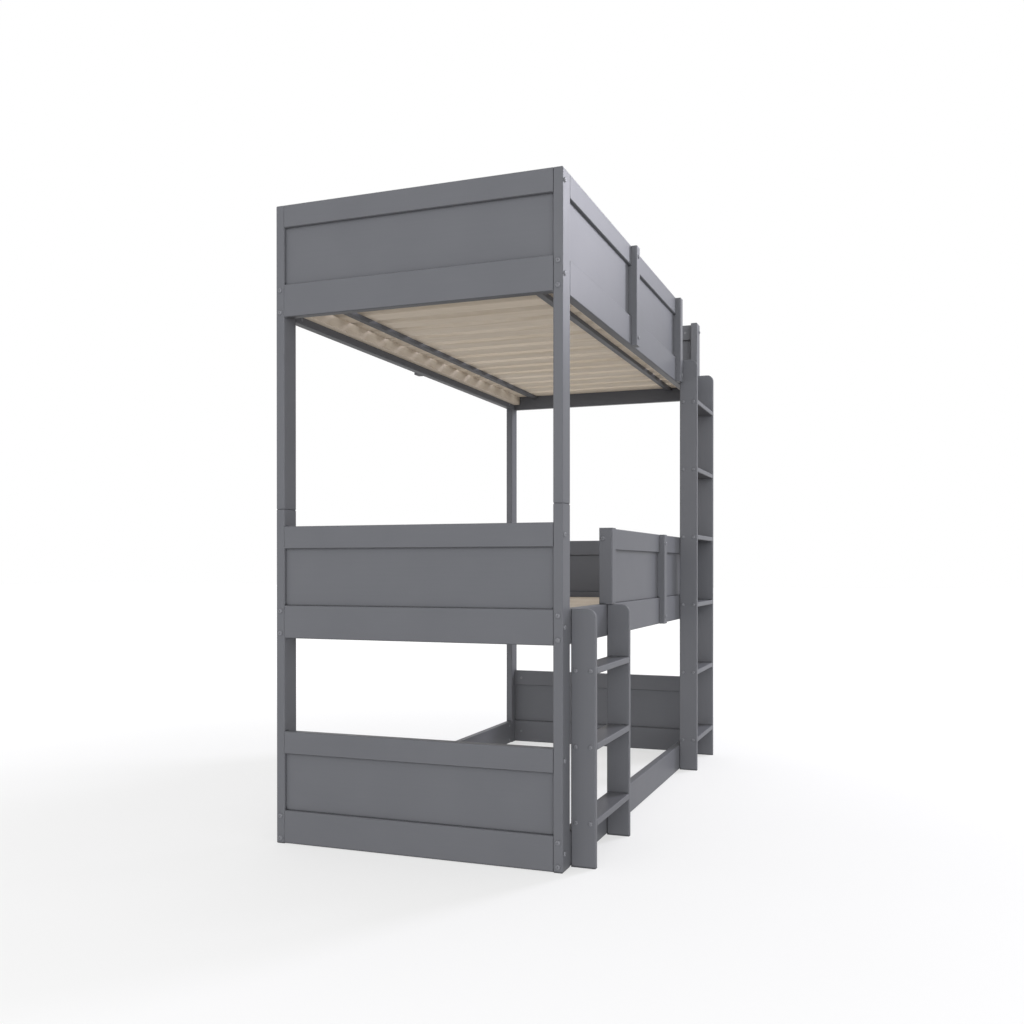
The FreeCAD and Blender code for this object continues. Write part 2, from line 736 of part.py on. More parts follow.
for part in ("lower", "upper"):
    for end in ENDS:
        for side in SIDES:
            corner_post(part, end, side)
for tier in levels:
    for end in ENDS:
        end_rail(tier, end, "top")
        end_rail(tier, end, "bottom")
        end_panel(tier, end)
    for side in SIDES:
        side_rail(tier, side)
for tier in GUARDED:
    for side in SIDES:
        guard_rail(tier, side)
        guard_panels(tier, side)
        guard_posts(tier, side)
    slats(tier)
group("slat_ledgers", [ledger(tier, side) for tier in GUARDED for side in SIDES])
group("slat_bars", [slat_bar(tier, side) for tier in GUARDED for side in SIDES])
for ladder in ladder_starts:
    for end in ENDS:
        ladder_stile(ladder, end)
    ladder_steps(ladder)

group("side_rail_bolts", side_rail_bolts())
group("end_rail_bolts", end_rail_bolts() + guard_end_bolts())
group("guard_bolts", guard_bolts())
group("ladder_bolts", ladder_bolts())
doc.recompute()

# Nothing is written unless every object and every sub-part is sound.
failed = [thing.Label for thing in doc.Objects if {"Invalid", "Error"} & set(thing.State)]
if failed:
    raise RuntimeError(f"failed objects: {failed}")
for subpart in subparts:
    if subpart.Shape.isNull() or not subpart.Shape.isValid():
        raise RuntimeError(f"bad shape: {subpart.Label}")

os.makedirs("parts", exist_ok=True)
for subpart in subparts:
    subpart.Shape.exportStep(f"parts/{subpart.Label}.step")
print(f"{len(subparts)} sub-parts, {sum(len(subpart.Shape.Solids) for subpart in subparts)} solids")
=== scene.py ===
import math

import bpy
import numpy as np
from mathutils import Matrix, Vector


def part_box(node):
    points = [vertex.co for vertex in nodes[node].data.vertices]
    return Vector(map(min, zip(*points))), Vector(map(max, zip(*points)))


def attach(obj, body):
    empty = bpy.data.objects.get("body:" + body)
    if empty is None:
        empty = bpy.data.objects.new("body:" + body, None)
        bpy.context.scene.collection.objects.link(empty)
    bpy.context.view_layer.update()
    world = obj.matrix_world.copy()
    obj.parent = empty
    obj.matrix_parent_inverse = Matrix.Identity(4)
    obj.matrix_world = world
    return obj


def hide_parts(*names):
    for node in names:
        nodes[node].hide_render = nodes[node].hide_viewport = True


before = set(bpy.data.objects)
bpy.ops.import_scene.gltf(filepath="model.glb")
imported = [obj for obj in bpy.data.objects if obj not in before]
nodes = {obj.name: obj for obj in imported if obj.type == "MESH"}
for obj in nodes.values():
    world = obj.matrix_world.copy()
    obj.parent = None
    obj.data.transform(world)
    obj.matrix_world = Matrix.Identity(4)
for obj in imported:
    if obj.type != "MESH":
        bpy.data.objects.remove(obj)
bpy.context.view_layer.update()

# Triple bunk bed: painted pine boards, bare pine slats and steel fasteners, in metres.
# X runs along the bed, the ladders stand on the front (-Y), and the floor is z = 0.
MM = 0.001

TIERS = ("bottom", "middle", "top")
SLATTED = ("middle", "top")
ENDS = ("left", "right")
SIDES = ("front", "back")
INWARDS_ALONG = {"left": (1, 0, 0), "right": (-1, 0, 0)}
INWARDS_ACROSS = {"front": (0, 1, 0), "back": (0, -1, 0)}


def linear(colour):
    """Turns an sRGB hex colour to linear red, green, blue and full alpha."""
    shares = [int(colour[at:at + 2], 16) / 255 for at in (1, 3, 5)]
    bright = [share / 12.92 if share <= 0.04045 else ((share + 0.055) / 1.055) ** 2.4 for share in shares]
    return (*bright, 1)


def per_mm(spacing):
    """The texture scale at which a pattern's features are that many millimetres apart."""
    return 1 / (spacing * MM)


def add(tree, kind, settings=None, inputs=None):
    """Adds a node with its settings, and sets or links its inputs."""
    node = tree.nodes.new(kind)
    for name, value in (settings or {}).items():
        setattr(node, name, value)
    for socket, value in (inputs or {}).items():
        if isinstance(value, bpy.types.NodeSocket):
            tree.links.new(value, node.inputs[socket])
        else:
            node.inputs[socket].default_value = value
    return node


def new_tree(name):
    """A new material and its empty node tree."""
    material = bpy.data.materials.new(name)
    material.use_nodes = True
    material.node_tree.nodes.clear()
    return material, material.node_tree


# sockets of the Mix node that mix colours
SHARE, FIRST, SECOND, MIXED = 0, 6, 7, 2

# Fibres are this many times longer than they are wide.
FIBRE_STRETCH = 40

# Added to a surface's normal, this turns the normal of an upright face about 40 degrees downwards.
DOWNWARD_LEAN = (0, 0, -0.8)


def grain_mapping(tree, grain):
    """Object coordinates drawn out along the grain's axis."""
    place = add(tree, "ShaderNodeTexCoord").outputs["Object"]
    squeeze = [1 / FIBRE_STRETCH if axis == grain else 1 for axis in "XYZ"]
    return place, add(tree, "ShaderNodeMapping", {}, {"Vector": place, "Scale": squeeze}).outputs["Vector"]


def satin_paint(name, grain):
    """Satin acrylic paint, rolled on planed pine: an even cool grey with a soft sheen at a flat angle.

    It shows a faint stipple from the roller and a little of the wood's grain. Its eased edges are paler,
    partly from wear of the paint and partly as a painted highlight. It has painted shade too: a dark line in
    the corners where a board stands on another, and a darker tone on faces that look down.
    """
    material, tree = new_tree(name)
    place, drawn_out = grain_mapping(tree, grain)
    # the coat is a little uneven over a hand's breadth
    patches = add(tree, "ShaderNodeTexNoise", {}, {"Vector": place, "Scale": per_mm(180), "Detail": 2})
    # fibres are finer than 1 mm, drawn 5 mm wide so that they show
    fibres = add(tree, "ShaderNodeTexNoise", {}, {"Vector": drawn_out, "Scale": per_mm(5), "Detail": 3})
    # a roller's stipple is about 1 mm, drawn as 4 mm so that it shows
    stipple = add(tree, "ShaderNodeTexNoise", {}, {"Vector": place, "Scale": per_mm(4), "Detail": 2})
    spread = add(tree, "ShaderNodeMapRange", {},
                 {"Value": patches.outputs[0], "From Min": 0.3, "From Max": 0.7})
    coat = add(tree, "ShaderNodeMix", {"data_type": "RGBA"},
               {SHARE: spread.outputs[0], FIRST: linear("#5c5d61"), SECOND: linear("#5e5f63")})
    threads = add(tree, "ShaderNodeMapRange", {},
                  {"Value": fibres.outputs[0], "From Min": 0.35, "From Max": 0.75, "To Max": 0.1})
    grained = add(tree, "ShaderNodeMix", {"data_type": "RGBA"},
                  {SHARE: threads.outputs[0], FIRST: coat.outputs[MIXED], SECOND: linear("#535458")})
    # the rounding of an eased edge, and how far the surface turns from flat there
    eased = add(tree, "ShaderNodeBevel", {"samples": 6}, {"Radius": 2.2 * MM})
    flat = add(tree, "ShaderNodeNewGeometry")
    agree = add(tree, "ShaderNodeVectorMath", {"operation": "DOT_PRODUCT"},
                {0: eased.outputs[0], 1: flat.outputs["True Normal"]})
    edge = add(tree, "ShaderNodeMapRange", {},
               {"Value": agree.outputs["Value"], "From Min": 1, "From Max": 0.86, "To Max": 0.15})
    # the eased edges are paler: partly wear of the paint, partly a painted highlight on their rounding
    worn_and_highlit = add(tree, "ShaderNodeMix", {"data_type": "RGBA"},
               {SHARE: edge.outputs[0], FIRST: grained.outputs[MIXED], SECOND: linear("#7b7c83")})
    # painted shade: a thin dark line in the corner where a board stands on another, where shade gathers.
    # Rays that lean downwards from the surface find those corners
    lean = add(tree, "ShaderNodeVectorMath", {"operation": "ADD"},
               {0: flat.outputs["True Normal"], 1: DOWNWARD_LEAN})
    leaning = add(tree, "ShaderNodeVectorMath", {"operation": "NORMALIZE"}, {0: lean.outputs[0]})
    corner = add(tree, "ShaderNodeAmbientOcclusion", {"samples": 8},
                 {"Distance": 12 * MM, "Normal": leaning.outputs[0]})
    # how dark the painted shade line in a corner is
    corner_shade_share = add(tree, "ShaderNodeMapRange", {},
                 {"Value": corner.outputs["AO"], "From Min": 0.5, "From Max": 0.25, "To Max": 0.8})
    corner_shaded = add(tree, "ShaderNodeMix", {"data_type": "RGBA"},
                {SHARE: corner_shade_share.outputs[0], FIRST: worn_and_highlit.outputs[MIXED], SECOND: linear("#2a2a2c")})
    # painted shade: faces that look down get a darker tone, except within a few millimetres of a board,
    # where the leaning rays find it and the corner line is drawn instead
    facing = add(tree, "ShaderNodeSeparateXYZ", {}, {0: flat.outputs["True Normal"]})
    below = add(tree, "ShaderNodeMapRange", {},
                {"Value": facing.outputs["Z"], "From Min": -0.3, "From Max": -0.9, "To Max": 1})
    # away from any board, faces that look down take the full painted shade
    thin = add(tree, "ShaderNodeMapRange", {}, {"Value": corner.outputs["AO"], "From Min": 0.8})
    bare = add(tree, "ShaderNodeMath", {"operation": "MULTIPLY"},
               {0: below.outputs[0], 1: thin.outputs[0]})
    # the painted shade of the faces that look down
    underside_shaded = add(tree, "ShaderNodeMix", {"data_type": "RGBA"},
                 {SHARE: bare.outputs[0], FIRST: corner_shaded.outputs[MIXED], SECOND: linear("#454547")})
    sheen = add(tree, "ShaderNodeMapRange", {},
                {"Value": patches.outputs[0], "From Min": 0.3, "From Max": 0.7,
                 "To Min": 0.33, "To Max": 0.39})
    relief = add(tree, "ShaderNodeBump", {},
                 {"Height": stipple.outputs[0], "Strength": 0.12, "Distance": 0.3 * MM,
                  "Normal": eased.outputs[0]})
    grain_relief = add(tree, "ShaderNodeBump", {},
                       {"Height": fibres.outputs[0], "Strength": 0.2, "Distance": 0.3 * MM,
                        "Normal": relief.outputs[0]})
    shader = add(tree, "ShaderNodeBsdfPrincipled", {},
                 {"Base Color": underside_shaded.outputs[MIXED], "Roughness": sheen.outputs[0], "IOR": 1.47,
                  "Specular IOR Level": 0.037, "Normal": grain_relief.outputs[0]})
    add(tree, "ShaderNodeOutputMaterial", {}, {"Surface": shader.outputs[0]})
    return material


# The bands of late wood go this many times light and dark as the noise that they follow goes from 0 to 1.
BANDS = 7


def planed_pine(name, grain, pitch):
    """Planed pine, left bare: pale straw with darker late wood in bands along the grain.

    Each board is a little lighter or darker than the next. The surface is dry and matt, with open fibres.
    """
    material, tree = new_tree(name)
    place, drawn_out = grain_mapping(tree, grain)
    late_wood = linear("#b0a28e")
    wander = add(tree, "ShaderNodeTexNoise", {}, {"Vector": drawn_out, "Scale": per_mm(45), "Detail": 2})
    # year rings are about 4 mm apart, and a board is cut across them at a slant, so the bands are wider
    rings = add(tree, "ShaderNodeMath", {"operation": "MULTIPLY"}, {0: wander.outputs[0], 1: BANDS})
    band = add(tree, "ShaderNodeMath", {"operation": "PINGPONG"}, {0: rings.outputs[0], 1: 0.5})
    late = add(tree, "ShaderNodeMapRange", {"interpolation_type": "SMOOTHSTEP"},
               {"Value": band.outputs[0], "From Min": 0.3, "From Max": 0.5, "To Max": 0.35})
    # bare fibres are finer than 1 mm too, drawn 2.5 mm wide
    fibres = add(tree, "ShaderNodeTexNoise", {},
                 {"Vector": drawn_out, "Scale": per_mm(2.5), "Detail": 4})
    wood = add(tree, "ShaderNodeMix", {"data_type": "RGBA"},
               {SHARE: late.outputs[0], FIRST: linear("#c3b8aa"), SECOND: late_wood})
    threads = add(tree, "ShaderNodeMapRange", {},
                  {"Value": fibres.outputs[0], "From Min": 0.35, "From Max": 0.75, "To Max": 0.4})
    fibrous = add(tree, "ShaderNodeMix", {"data_type": "RGBA"},
                  {SHARE: threads.outputs[0], FIRST: wood.outputs[MIXED], SECOND: late_wood})
    # one tone for each board of a row along the bed
    apart = add(tree, "ShaderNodeSeparateXYZ", {}, {0: place})
    count = add(tree, "ShaderNodeMath", {"operation": "DIVIDE"}, {0: apart.outputs[0], 1: pitch})
    number = add(tree, "ShaderNodeMath", {"operation": "ROUND"}, {0: count.outputs[0]})
    lot = add(tree, "ShaderNodeTexWhiteNoise", {"noise_dimensions": "1D"}, {"W": number.outputs[0]})
    tone = add(tree, "ShaderNodeMapRange", {}, {"Value": lot.outputs[0], "To Max": 0.3})
    board = add(tree, "ShaderNodeMix", {"data_type": "RGBA"},
                {SHARE: tone.outputs[0], FIRST: fibrous.outputs[MIXED], SECOND: late_wood})
    relief = add(tree, "ShaderNodeBump", {},
                 {"Height": fibres.outputs[0], "Strength": 0.35, "Distance": 0.4 * MM})
    shader = add(tree, "ShaderNodeBsdfPrincipled", {},
                 {"Base Color": board.outputs[MIXED], "Roughness": 0.72, "IOR": 1.5,
                  "Specular IOR Level": 0.15, "Normal": relief.outputs[0]})
    add(tree, "ShaderNodeOutputMaterial", {}, {"Surface": shader.outputs[0]})
    return material


def lacquered_steel(name):
    """Steel with a thin grey lacquer that matches the paint: a satin gloss, duller in faint spots."""
    material, tree = new_tree(name)
    place = add(tree, "ShaderNodeTexCoord").outputs["Object"]
    spots = add(tree, "ShaderNodeTexNoise", {}, {"Vector": place, "Scale": per_mm(3), "Detail": 3})
    gloss = add(tree, "ShaderNodeMapRange", {},
                {"Value": spots.outputs[0], "From Min": 0.3, "From Max": 0.7,
                 "To Min": 0.3, "To Max": 0.42})
    shade = add(tree, "ShaderNodeMix", {"data_type": "RGBA"},
                {SHARE: spots.outputs[0], FIRST: linear("#67686c"), SECOND: linear("#6e6f74")})
    shader = add(tree, "ShaderNodeBsdfPrincipled", {},
                 {"Base Color": shade.outputs[MIXED], "Roughness": gloss.outputs[0],
                  "Specular IOR Level": 0.2})
    add(tree, "ShaderNodeOutputMaterial", {}, {"Surface": shader.outputs[0]})
    return material


# The slats of one base are spread evenly over its length.
SLATS_PER_BASE = 16
SLAT_WIDTH = 80 * MM
slat_low, slat_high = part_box("middle_slats")
slat_middles = np.linspace(slat_low.x + SLAT_WIDTH / 2, slat_high.x - SLAT_WIDTH / 2, SLATS_PER_BASE)
slat_pitch = slat_middles[1] - slat_middles[0]

paint_along = satin_paint("satin_grey_paint_along", "X")
paint_across = satin_paint("satin_grey_paint_across", "Y")
paint_upright = satin_paint("satin_grey_paint_upright", "Z")
pine_across = planed_pine("planed_pine_across", "Y", slat_pitch)
pine_along = planed_pine("planed_pine_along", "X", slat_pitch * SLATS_PER_BASE)
steel = lacquered_steel("grey_lacquered_steel")


def finish_of(name):
    """The finish of a solid, with its grain along the way that the board was cut."""
    if name.endswith("_slats"):
        return pine_across
    if name == "slat_ledgers":
        return pine_along
    if "_bolts" in name:
        return steel
    if "post" in name or "stile" in name:
        return paint_upright
    if "_end_" in name:
        return paint_across
    return paint_along


for name, node in nodes.items():
    node.data.materials.clear()
    node.data.materials.append(finish_of(name))


# Fasteners

# points round a turned piece
AROUND = 24
angles = np.linspace(0, 2 * np.pi, AROUND, endpoint=False)


def round_outline():
    """A circle: the same radius at every angle."""
    return np.ones(AROUND)


def hex_outline():
    """A hexagon: the distance to a flat, over the cosine of the angle from that flat's middle."""
    sixth = np.pi / 3
    return 1 / np.cos((angles + sixth / 2) % sixth - sixth / 2)


# how far the outline of a cross recess swings to each side of its mean radius
CROSS_SWING = 0.38


def cross_outline():
    """A cross recess: the radius swings between an arm and a notch four times round."""
    return 1 - CROSS_SWING + CROSS_SWING * np.cos(4 * angles)


def turned_copies(rows, places, directions):
    """Points and faces of turned pieces, one for each place.

    A row is (radius, depth, outline). A point of a row is the place, plus the depth along the direction,
    plus radius times outline along a spoke at its angle. Rows run from the inner end to the outer end,
    neighbouring rows are joined round, and the first and last rows are closed by a flat cap.
    """
    radii = np.array([radius * outline() for radius, depth, outline in rows]) * MM
    depths = np.array([depth for radius, depth, outline in rows]) * MM
    axes = np.array(directions, float)
    upright = np.abs(axes[:, 2:]) > 0.5
    spoke = np.where(upright, (1, 0, 0), (0, 0, 1)).astype(float)
    other = np.cross(axes, spoke)
    swing = np.cos(angles)[:, None] * spoke[:, None, :] + np.sin(angles)[:, None] * other[:, None, :]
    points = (np.array(places, float)[:, None, None, :]
              + depths[None, :, None, None] * axes[:, None, None, :]
              + radii[None, :, :, None] * swing[:, None, :, :])
    row, column = np.meshgrid(np.arange(len(rows) - 1), np.arange(AROUND), indexing="ij")
    ahead = (column + 1) % AROUND
    quads = np.stack([row * AROUND + column, (row + 1) * AROUND + column,
                      (row + 1) * AROUND + ahead, row * AROUND + ahead], axis=-1).reshape(-1, 4)
    starts = np.arange(len(places)) * len(rows) * AROUND
    ring = np.arange(AROUND)
    outer = (len(rows) - 1) * AROUND + ring[::-1]
    faces = (quads[None] + starts[:, None, None]).reshape(-1, 4).tolist()
    faces += (ring[None] + starts[:, None]).tolist()
    faces += (outer[None] + starts[:, None]).tolist()
    return points.reshape(-1, 3), faces


# faces that turn more than this against each other meet in a sharp edge
SHARP_TURN = math.radians(38)


def new_piece(name, points, faces, material, slot):
    """A mesh object at the origin that rides on the bed, smooth except at sharp turns."""
    mesh = bpy.data.meshes.new(name)
    mesh.from_pydata(points.tolist(), [], faces)
    mesh.materials.append(material)
    mesh.shade_smooth()
    mesh.set_sharp_from_angle(angle=SHARP_TURN)
    piece = bpy.data.objects.new(name, mesh)
    bpy.context.scene.collection.objects.link(piece)
    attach(piece, "root")
    return piece


# Sizes that all the bolts share, in millimetres: the bevel of the tip, the easing under the head, the height
# of the head's straight rim and the depth of the socket. The flat round the socket follows from the key.
TIP = 1
EASE = 0.3
RIM = 0.9
SOCKET_DEPTH = 2.4
LIP_TO_KEY = 0.75
DOME_TURNS = np.radians((25, 50, 70, 90))


def domed_bolt(shank, length, head, height, key):
    """Rows of a bolt with a domed head and a hexagon socket, from the shank's tip to the socket's floor.

    The dome is a quarter of an ellipse from the head's rim to the edge of the flat round the socket.
    """
    half = head / 2
    lip = key * LIP_TO_KEY
    rows = [(shank / 2 - TIP, length, round_outline), (shank / 2, length - TIP, round_outline),
            (shank / 2, 0, round_outline), (half - EASE, 0, round_outline), (half, -EASE, round_outline),
            (half, -RIM, round_outline)]
    for turn in DOME_TURNS:
        across = lip + (half - lip) * np.cos(turn)
        rows.append((across, -RIM - (height - RIM) * np.sin(turn), round_outline))
    rows.append((key / 2, -height, hex_outline))
    rows.append((key / 2, -height + SOCKET_DEPTH, hex_outline))
    return rows


# Bolts in millimetres. The round shanks fit inside the flats of the solids' holes.
LARGE_BOLT = {"shank": 7.2, "head": 15, "height": 4.5, "key": 5}
SMALL_BOLT = {"shank": 5.4, "head": 13, "height": 4, "key": 4}

# The two bolts at a side board's end lie this far above its lower edge and below its upper edge.
RAIL_BOLT_LOW = 16 * MM
RAIL_BOLT_DROP = 18 * MM


def middle(low, high):
    """The middle between two corners."""
    return (low + high) / 2


def bolt_heights(tier, side):
    """Heights of the two bolts at each end of a side board."""
    low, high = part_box(f"{tier}_{side}_side_rail")
    return low.z + RAIL_BOLT_LOW, high.z - RAIL_BOLT_DROP


def outer_face(name, axis, first):
    """The outer face of a node along an axis: its low side at the first end, else its high side."""
    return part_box(name)[0 if first else 1][axis]


def side_rail_bolts():
    """Places and directions of the bolts through the posts into the side boards."""
    for tier in TIERS:
        for side in SIDES:
            y = middle(*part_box(f"{tier}_{side}_side_rail")).y
            for end in ENDS:
                x = outer_face(f"lower_post_{side}_{end}", 0, end == "left")
                for z in bolt_heights(tier, side):
                    yield (x, y, z), INWARDS_ALONG[end]


def end_rail_bolts():
    """Places and directions of the bolts through the posts into the end boards."""
    for tier in TIERS:
        for end in ENDS:
            for which in ("top", "bottom"):
                centre = middle(*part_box(f"{tier}_{end}_end_{which}_rail"))
                for side in SIDES:
                    y = outer_face(f"lower_post_{side}_{end}", 1, side == "front")
                    yield (centre.x, y, centre.z), INWARDS_ACROSS[side]


def guard_end_bolts():
    """Places and directions of the bolts through the free end posts into the guard rails."""
    for tier, end in (("middle", "left"), ("top", "right")):
        rail = middle(*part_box(f"{tier}_front_guard_rail"))
        x = outer_face(f"{tier}_front_guard_end_post", 0, end == "left")
        yield (x, rail.y, rail.z), INWARDS_ALONG[end]


# The lower bolt of a guard post lies this far above its foot.
GUARD_BOLT_LOW = 30 * MM


def guard_bolts():
    """Places and directions of the bolts through the guard posts into the boards behind them."""
    for tier in SLATTED:
        for side in SIDES:
            post = f"{tier}_{side}_guard_post"
            centre = middle(*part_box(post))
            y = outer_face(post, 1, side == "front")
            rail_z = middle(*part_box(f"{tier}_{side}_guard_rail")).z
            for z in (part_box(post)[0].z + GUARD_BOLT_LOW, rail_z):
                yield (centre.x, y, z), INWARDS_ACROSS[side]
    end_post = "top_front_guard_end_post"
    low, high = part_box(end_post)
    yield (middle(low, high).x, low.y, low.z + GUARD_BOLT_LOW), INWARDS_ACROSS["front"]


# steps of each ladder, and how far their bolts lie from their front and back edges
STEPS = {"short": 3, "tall": 6}
STEP_THICKNESS = 20 * MM
STEP_BOLT_INSET = 15 * MM


def ladder_bolts():
    """Places and directions of the bolts through the stiles into the steps."""
    for ladder, count in STEPS.items():
        low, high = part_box(f"{ladder}_ladder_steps")
        for z in np.linspace(low.z + STEP_THICKNESS / 2, high.z - STEP_THICKNESS / 2, count):
            for y in (low.y + STEP_BOLT_INSET, high.y - STEP_BOLT_INSET):
                for end in ENDS:
                    x = outer_face(f"{ladder}_ladder_{end}_stile", 0, end == "left")
                    yield (x, y, z), INWARDS_ALONG[end]


def bolt_piece(name, groups, bolt):
    """One piece of all the bolts of a node. A group is its places and the length of its shanks."""
    points = []
    faces = []
    for spots, length in groups:
        places, directions = zip(*spots)
        rows = domed_bolt(bolt["shank"], length, bolt["head"], bolt["height"], bolt["key"])
        more, closing = turned_copies(rows, places, directions)
        start = sum(len(group) for group in points)
        points.append(more)
        faces += [[number + start for number in face] for face in closing]
    piece = new_piece(f"{name}_domed", np.concatenate(points), faces, steel, "bolt_steel")
    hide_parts(name)


# A large bolt goes through a post, along or across the bed, and grips the board behind it, in millimetres.
POST_WIDTH = 70
POST_THICKNESS = 30
GUARD_POST_WIDTH = 45
GRIP = 50
# lengths of the small bolts, in millimetres
GUARD_BOLT_LENGTH = 38
LADDER_BOLT_LENGTH = 60
bolt_piece("side_rail_bolts", [(list(side_rail_bolts()), POST_WIDTH + GRIP)], LARGE_BOLT)
end_groups = [(list(end_rail_bolts()), POST_THICKNESS + GRIP),
              (list(guard_end_bolts()), GUARD_POST_WIDTH + GRIP)]
bolt_piece("end_rail_bolts", end_groups, LARGE_BOLT)
bolt_piece("guard_bolts", [(list(guard_bolts()), GUARD_BOLT_LENGTH)], SMALL_BOLT)
bolt_piece("ladder_bolts", [(list(ladder_bolts()), LADDER_BOLT_LENGTH)], SMALL_BOLT)

# Slotted ends of the barrel nuts, in millimetres, and the turns at which a disc's sides have their corners
NUT_RADIUS = 6
NUT_HEIGHT = 0.8
NUT_SLOT = 1.6
NUT_SLOT_DEPTH = 0.6
NUT_TURNS = np.radians((8, 30, 50, 68))


def slotted_discs(places, directions):
    """Points and faces of the slotted ends of barrel nuts, one for each place.

    A disc is a bar whose width follows the circle's chord: stations run across the circle, and each has
    four corners, two on the board and two on top. The top is lower between the two edges of the slot.
    """
    half_slot = NUT_SLOT / 2
    flank = NUT_RADIUS * np.cos(NUT_TURNS)
    stations = np.concatenate([-flank, (-half_slot, -half_slot, half_slot, half_slot), flank[::-1]])
    tops = np.full(len(stations), NUT_HEIGHT)
    tops[len(flank) + 1:len(flank) + 3] -= NUT_SLOT_DEPTH
    chords = np.sqrt(NUT_RADIUS ** 2 - stations ** 2)
    across = np.stack([-chords, -chords, chords, chords], axis=1) * MM
    lift = np.stack([0 * tops, tops, tops, 0 * tops], axis=1) * MM
    axes = np.array(directions, float)
    along = np.zeros_like(axes) + (0, 0, 1)
    other = np.cross(along, axes)
    points = (np.array(places, float)[:, None, None, :] - lift[None, :, :, None] * axes[:, None, None, :]
              + across[None, :, :, None] * other[:, None, None, :]
              + stations[None, :, None, None] * MM * along[:, None, None, :])
    station, corner = np.meshgrid(np.arange(len(stations) - 1), np.arange(4), indexing="ij")
    ahead = (corner + 1) % 4
    quads = np.stack([station * 4 + corner, (station + 1) * 4 + corner,
                      (station + 1) * 4 + ahead, station * 4 + ahead], axis=-1).reshape(-1, 4)
    ends = np.array([(0, 1, 2, 3), np.array((3, 2, 1, 0)) + 4 * (len(stations) - 1)])
    starts = np.arange(len(places)) * len(stations) * 4
    faces = (np.concatenate([quads, ends])[None] + starts[:, None, None]).reshape(-1, 4).tolist()
    return points.reshape(-1, 3), faces


# The nuts lie this far from the boards' ends.
NUT_SETBACK = 35 * MM


def nut_ends():
    """Places of the barrel nuts on the boards' inner faces, and the directions into the wood."""
    for tier in TIERS:
        for side in SIDES:
            low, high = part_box(f"{tier}_{side}_side_rail")
            y = high.y if side == "front" else low.y
            into = INWARDS_ACROSS["back" if side == "front" else "front"]
            for z in bolt_heights(tier, side):
                for x in (low.x + NUT_SETBACK, high.x - NUT_SETBACK):
                    yield (x, y, z), into
        for end in ENDS:
            for which in ("top", "bottom"):
                low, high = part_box(f"{tier}_{end}_end_{which}_rail")
                x = high.x if end == "left" else low.x
                into = INWARDS_ALONG["right" if end == "left" else "left"]
                for y in (low.y + NUT_SETBACK, high.y - NUT_SETBACK):
                    yield (x, y, middle(low, high).z), into


new_piece("barrel_nut_ends", *slotted_discs(*zip(*nut_ends())), steel, "bolt_steel")

# The middles of the bars under the slats lie this far inside the side boards' outer faces.
BAR_INSET = 141 * MM


def slat_screws():
    """Places of the screws that hold each slat to the two bars under it, and the direction down."""
    for tier in SLATTED:
        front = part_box(f"{tier}_front_side_rail")[0].y
        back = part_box(f"{tier}_back_side_rail")[1].y
        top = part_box(f"{tier}_slats")[1].z
        for x in slat_middles:
            for y in (front + BAR_INSET, back - BAR_INSET):
                yield (x, y, top), (0, 0, -1)


# A countersunk screw's head in millimetres: its radius and rise, and the radii and depth of its cross recess
SCREW_HEAD = 4
SCREW_RISE = 0.5
RECESS_MOUTH = 2.1
RECESS_FLOOR = 0.9
RECESS_DEPTH = 1.2


def countersunk_screw():
    """Rows of a screw from its neck, as deep as the head's radius, to the floor of its recess."""
    return [(0.8 * SCREW_HEAD, SCREW_HEAD, round_outline), (SCREW_HEAD, 0, round_outline),
            (0.95 * SCREW_HEAD, -0.7 * SCREW_RISE, round_outline),
            (0.65 * SCREW_HEAD, -SCREW_RISE, round_outline),
            (RECESS_MOUTH, -SCREW_RISE, cross_outline), (RECESS_FLOOR, RECESS_DEPTH, cross_outline)]


screw_parts = turned_copies(countersunk_screw(), *zip(*slat_screws()))
new_piece("slat_screws", *screw_parts, steel, "bolt_steel")


# Stage

# half the floor's width, in metres
FLOOR_REACH = 40
floor_mesh = bpy.data.meshes.new("pale_floor")
floor_corners = [(-FLOOR_REACH, -FLOOR_REACH, 0), (FLOOR_REACH, -FLOOR_REACH, 0),
                 (FLOOR_REACH, FLOOR_REACH, 0), (-FLOOR_REACH, FLOOR_REACH, 0)]
floor_mesh.from_pydata(floor_corners, [], [(0, 1, 2, 3)])
floor = bpy.data.objects.new("pale_floor", floor_mesh)
bpy.context.scene.collection.objects.link(floor)


# The floor glows more and more between these distances from the bed's middle, in metres.
GLOW_START = 1.2
GLOW_FULL = 5


def lit_floor(name):
    """Matt opal acrylic that is lit from below, so it takes only faint shadows.

    It glows more away from the bed, so that it runs into the white background.
    """
    material, tree = new_tree(name)
    place = add(tree, "ShaderNodeTexCoord").outputs["Object"]
    patches = add(tree, "ShaderNodeTexNoise", {}, {"Vector": place, "Scale": per_mm(900)})
    shade = add(tree, "ShaderNodeMix", {"data_type": "RGBA"},
                {SHARE: patches.outputs[0], FIRST: linear("#8a8a8a"), SECOND: linear("#8d8d8d")})
    away = add(tree, "ShaderNodeVectorMath", {"operation": "LENGTH"}, {0: place})
    glow = add(tree, "ShaderNodeMapRange", {"interpolation_type": "SMOOTHSTEP"},
               {"Value": away.outputs["Value"], "From Min": GLOW_START, "From Max": GLOW_FULL,
                "To Min": 0.6, "To Max": 0.78})
    shader = add(tree, "ShaderNodeBsdfPrincipled", {},
                 {"Base Color": shade.outputs[MIXED], "Roughness": 0.9, "Specular IOR Level": 0.1,
                  "Emission Color": (1, 1, 1, 1), "Emission Strength": glow.outputs[0]})
    add(tree, "ShaderNodeOutputMaterial", {}, {"Surface": shader.outputs[0]})
    return material


floor_mesh.materials.append(lit_floor("matt_opal_acrylic"))

# The studio is white all round. A broad soft light, low behind the camera, adds this gain at its middle.
# It falls off to the sides, and the power sets how fast. Its aim is the way from the bed to that middle.
BROAD_LIGHT_GAIN = 5.9
BROAD_LIGHT_FALL = 8
BROAD_LIGHT_AIM = Vector((-0.93, -0.35, -0.07)).normalized()


